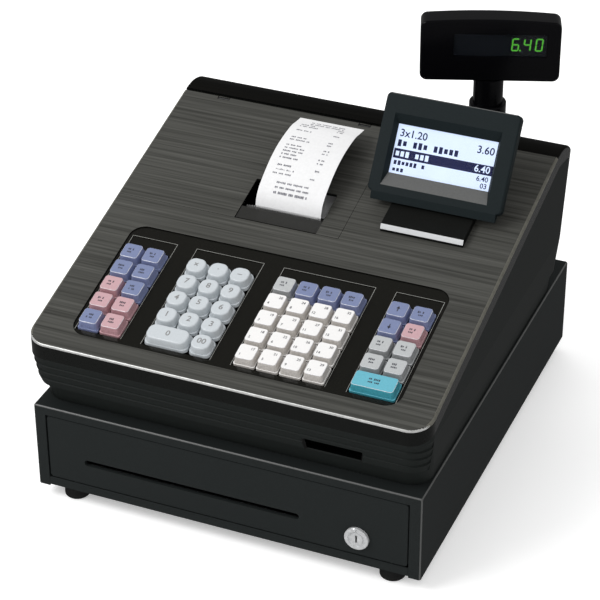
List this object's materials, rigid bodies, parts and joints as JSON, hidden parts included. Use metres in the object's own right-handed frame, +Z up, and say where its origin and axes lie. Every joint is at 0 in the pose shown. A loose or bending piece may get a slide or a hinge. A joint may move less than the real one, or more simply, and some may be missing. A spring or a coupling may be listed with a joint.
{
  "type": "electronic cash register",
  "caption": "Electronic cash register: sloped keyboard, receipt printer with curled receipt, tilting operator display, customer display on a pole, and a steel cash drawer below.",
  "frame": {"origin": "on the table, under the middle of the drawer cabinet", "axes": "+X to the operator's right, +Y away from the operator, +Z up; the drawer opens along -Y"},
  "size_m": [0.336, 0.376, 0.3298],
  "materials": {
    "cabinet_paint": "fine satin black powder coat",
    "foot_rubber": "matt",
    "screw_steel": "zinc plated",
    "solenoid_parts": "coil and frame",
    "spring_steel": "plain",
    "case_plastic": "dark, ribbed front",
    "brushed_film": "dark brushed-metal film, gloss black sides",
    "deck_plastic": "gloss black",
    "circuit_board": "green laminate",
    "supply_parts": "laminations and windings",
    "cord_black": "satin",
    "printer_plastic": "matt black",
    "head_aluminium": "plain",
    "cutter_steel": "bright",
    "motor_steel": "plated",
    "paper": "thermal paper",
    "neck_plastic": "black with a silver band",
    "pole_plastic": "gloss black",
    "nylon": "natural nylon",
    "steel_plate": "zinc plated",
    "lock_chrome": "polished",
    "tray_plastic": "matt black",
    "clip_steel": "sprung steel",
    "platen_rubber": "ground rubber",
    "gear_plastic": "acetal",
    "display_plastic": "slate grey",
    "clear_window": "clear",
    "lcd": "backlit liquid crystal",
    "dark_window": "smoked",
    "digit_board": "dark with green digits",
    "key_blue": "clear cap over blue",
    "key_pink": "clear cap over pink",
    "key_number": "pale grey",
    "key_grey": "clear cap over grey",
    "key_white": "clear cap over white",
    "key_cyan": "clear cap over cyan"
  },
  "bodies": {
    "register": {"cabinet_cover": "cabinet_paint", "cabinet_base": "cabinet_paint", "cabinet_feet": "foot_rubber", "foot_screws": "screw_steel", "latch_solenoid": "solenoid_parts", "kick_spring": "spring_steel", "lower_case": "case_plastic", "top_cover": "brushed_film", "key_deck": "deck_plastic", "key_switch_board": "circuit_board", "board_screws": "screw_steel", "main_board": "circuit_board", "power_supply": "supply_parts", "power_cord": "cord_black", "printer_frame": "printer_plastic", "thermal_head": "head_aluminium", "paper_cutter": "cutter_steel", "feed_motor": "motor_steel", "paper_web": "paper", "display_neck": "neck_plastic", "pole_collar": "pole_plastic"},
    "cabinet_rollers": {"cabinet_rollers": "nylon"},
    "drawer": {"drawer_front": "cabinet_paint", "drawer_box": "steel_plate", "lock_barrel": "lock_chrome", "cash_tray": "tray_plastic", "coin_tray": "tray_plastic", "note_clip_rod": "clip_steel"},
    "drawer_rollers": {"drawer_rollers": "nylon"},
    "lock_plug": {"lock_plug": "lock_chrome"},
    "note_clip_1": {"note_clip_1": "clip_steel"},
    "note_clip_2": {"note_clip_2": "clip_steel"},
    "note_clip_3": {"note_clip_3": "clip_steel"},
    "note_clip_4": {"note_clip_4": "clip_steel"},
    "latch_lever": {"latch_lever": "steel_plate"},
    "solenoid_plunger": {"solenoid_plunger": "steel_plate"},
    "printer_lid": {"printer_lid": "brushed_film", "receipt_paper": "paper"},
    "platen_roller": {"platen_roller": "platen_rubber"},
    "motor_pinion": {"motor_pinion": "gear_plastic"},
    "paper_roll": {"paper_roll": "paper"},
    "operator_display": {"display_front": "display_plastic", "display_back": "display_plastic", "display_lens": "clear_window", "lcd_panel": "lcd"},
    "pole": {"pole_tube": "pole_plastic"},
    "customer_display": {"pod_front": "pole_plastic", "pod_back": "pole_plastic", "pod_window": "dark_window", "digit_panel": "digit_board"},
    "function_keys_blue": {"function_keys_blue": "key_blue"},
    "function_keys_pink": {"function_keys_pink": "key_pink"},
    "number_keys": {"number_keys": "key_number"},
    "department_key_grey": {"department_key_grey": "key_grey"},
    "department_keys_blue": {"department_keys_blue": "key_blue"},
    "department_keys_white": {"department_keys_white": "key_white"},
    "payment_keys_blue": {"payment_keys_blue": "key_blue"},
    "payment_key_pink": {"payment_key_pink": "key_pink"},
    "payment_keys_grey": {"payment_keys_grey": "key_grey"},
    "total_key": {"total_key": "key_cyan"}
  },
  "joints": [
    {"name": "drawer_slide", "type": "slide", "parent": "register", "child": "drawer", "axis": [0, -1, 0], "range_m": [0, 0.25]},
    {"name": "cabinet_roller_spin", "type": "hinge", "parent": "register", "child": "cabinet_rollers", "pos_m": [0, -0.16, 0.042], "axis": [1, 0, 0], "continuous": true},
    {"name": "drawer_roller_spin", "type": "hinge", "parent": "drawer", "child": "drawer_rollers", "pos_m": [0, 0.13, 0.042], "axis": [1, 0, 0], "continuous": true},
    {"name": "lock_turn", "type": "hinge", "parent": "drawer", "child": "lock_plug", "pos_m": [0.1125, -0.1845, 0.038], "axis": [0, 1, 0], "range_deg": [0, 90]},
    {"name": "note_clip_1_lift", "type": "hinge", "parent": "drawer", "child": "note_clip_1", "pos_m": [-0.10875, 0.105, 0.0595], "axis": [-1, 0, 0], "range_deg": [0, 75]},
    {"name": "note_clip_2_lift", "type": "hinge", "parent": "drawer", "child": "note_clip_2", "pos_m": [-0.03625, 0.105, 0.0595], "axis": [-1, 0, 0], "range_deg": [0, 75]},
    {"name": "note_clip_3_lift", "type": "hinge", "parent": "drawer", "child": "note_clip_3", "pos_m": [0.03625, 0.105, 0.0595], "axis": [-1, 0, 0], "range_deg": [0, 75]},
    {"name": "note_clip_4_lift", "type": "hinge", "parent": "drawer", "child": "note_clip_4", "pos_m": [0.10875, 0.105, 0.0595], "axis": [-1, 0, 0], "range_deg": [0, 75]},
    {"name": "latch_swing", "type": "hinge", "parent": "register", "child": "latch_lever", "pos_m": [0.014, 0.172, 0.029], "axis": [0, 0, -1], "range_deg": [0, 10]},
    {"name": "plunger_slide", "type": "slide", "parent": "register", "child": "solenoid_plunger", "axis": [-1, 0, 0], "range_m": [0, 0.00244]},
    {"name": "lid_hinge", "type": "hinge", "parent": "register", "child": "printer_lid", "pos_m": [0, 0.11663, 0.22317], "axis": [-1, 0, 0], "range_deg": [0, 70]},
    {"name": "platen_spin", "type": "hinge", "parent": "register", "child": "platen_roller", "pos_m": [-0.022, 0.00963, 0.18577], "axis": [1, 0, 0], "continuous": true},
    {"name": "pinion_spin", "type": "hinge", "parent": "register", "child": "motor_pinion", "pos_m": [0.0115, 0.01839, 0.1766], "axis": [1, 0, 0], "continuous": true},
    {"name": "paper_roll_spin", "type": "hinge", "parent": "register", "child": "paper_roll", "pos_m": [-0.022, 0.07507, 0.17908], "axis": [1, 0, 0], "continuous": true},
    {"name": "display_tilt", "type": "hinge", "parent": "register", "child": "operator_display", "pos_m": [0.093, 0.039, 0.2134], "axis": [-1, 0, 0], "range_deg": [0, 20]},
    {"name": "pole_lift", "type": "slide", "parent": "register", "child": "pole", "axis": [0, 0, 1], "range_m": [-0.02, 0]},
    {"name": "customer_display_swivel", "type": "hinge", "parent": "pole", "child": "customer_display", "pos_m": [0.096, 0.15, 0.2743], "axis": [0, 0, 1], "range_deg": [-170, 170]},
    {"name": "function_blue_press", "type": "slide", "parent": "register", "child": "function_keys_blue", "axis": [0, 0.2368, -0.9715], "range_m": [0, 0.0025]},
    {"name": "function_pink_press", "type": "slide", "parent": "register", "child": "function_keys_pink", "axis": [0, 0.2368, -0.9715], "range_m": [0, 0.0025]},
    {"name": "number_press", "type": "slide", "parent": "register", "child": "number_keys", "axis": [0, 0.2368, -0.9715], "range_m": [0, 0.0025]},
    {"name": "department_grey_press", "type": "slide", "parent": "register", "child": "department_key_grey", "axis": [0, 0.2368, -0.9715], "range_m": [0, 0.0025]},
    {"name": "department_blue_press", "type": "slide", "parent": "register", "child": "department_keys_blue", "axis": [0, 0.2368, -0.9715], "range_m": [0, 0.0025]},
    {"name": "department_white_press", "type": "slide", "parent": "register", "child": "department_keys_white", "axis": [0, 0.2368, -0.9715], "range_m": [0, 0.0025]},
    {"name": "payment_blue_press", "type": "slide", "parent": "register", "child": "payment_keys_blue", "axis": [0, 0.2368, -0.9715], "range_m": [0, 0.0025]},
    {"name": "payment_pink_press", "type": "slide", "parent": "register", "child": "payment_key_pink", "axis": [0, 0.2368, -0.9715], "range_m": [0, 0.0025]},
    {"name": "payment_grey_press", "type": "slide", "parent": "register", "child": "payment_keys_grey", "axis": [0, 0.2368, -0.9715], "range_m": [0, 0.0025]},
    {"name": "total_press", "type": "slide", "parent": "register", "child": "total_key", "axis": [0, 0.2368, -0.9715], "range_m": [0, 0.0025]}
  ],
  "couplings": [
    {"joint": "cabinet_roller_spin", "follows": "drawer_slide", "rad_per_m": 166.67},
    {"joint": "drawer_roller_spin", "follows": "drawer_slide", "rad_per_m": 166.67},
    {"joint": "plunger_slide", "follows": "latch_swing", "m_per_rad": 0.014},
    {"joint": "pinion_spin", "follows": "paper_roll_spin", "ratio": 6.2222},
    {"joint": "platen_spin", "follows": "paper_roll_spin", "ratio": -4.6667}
  ]
}
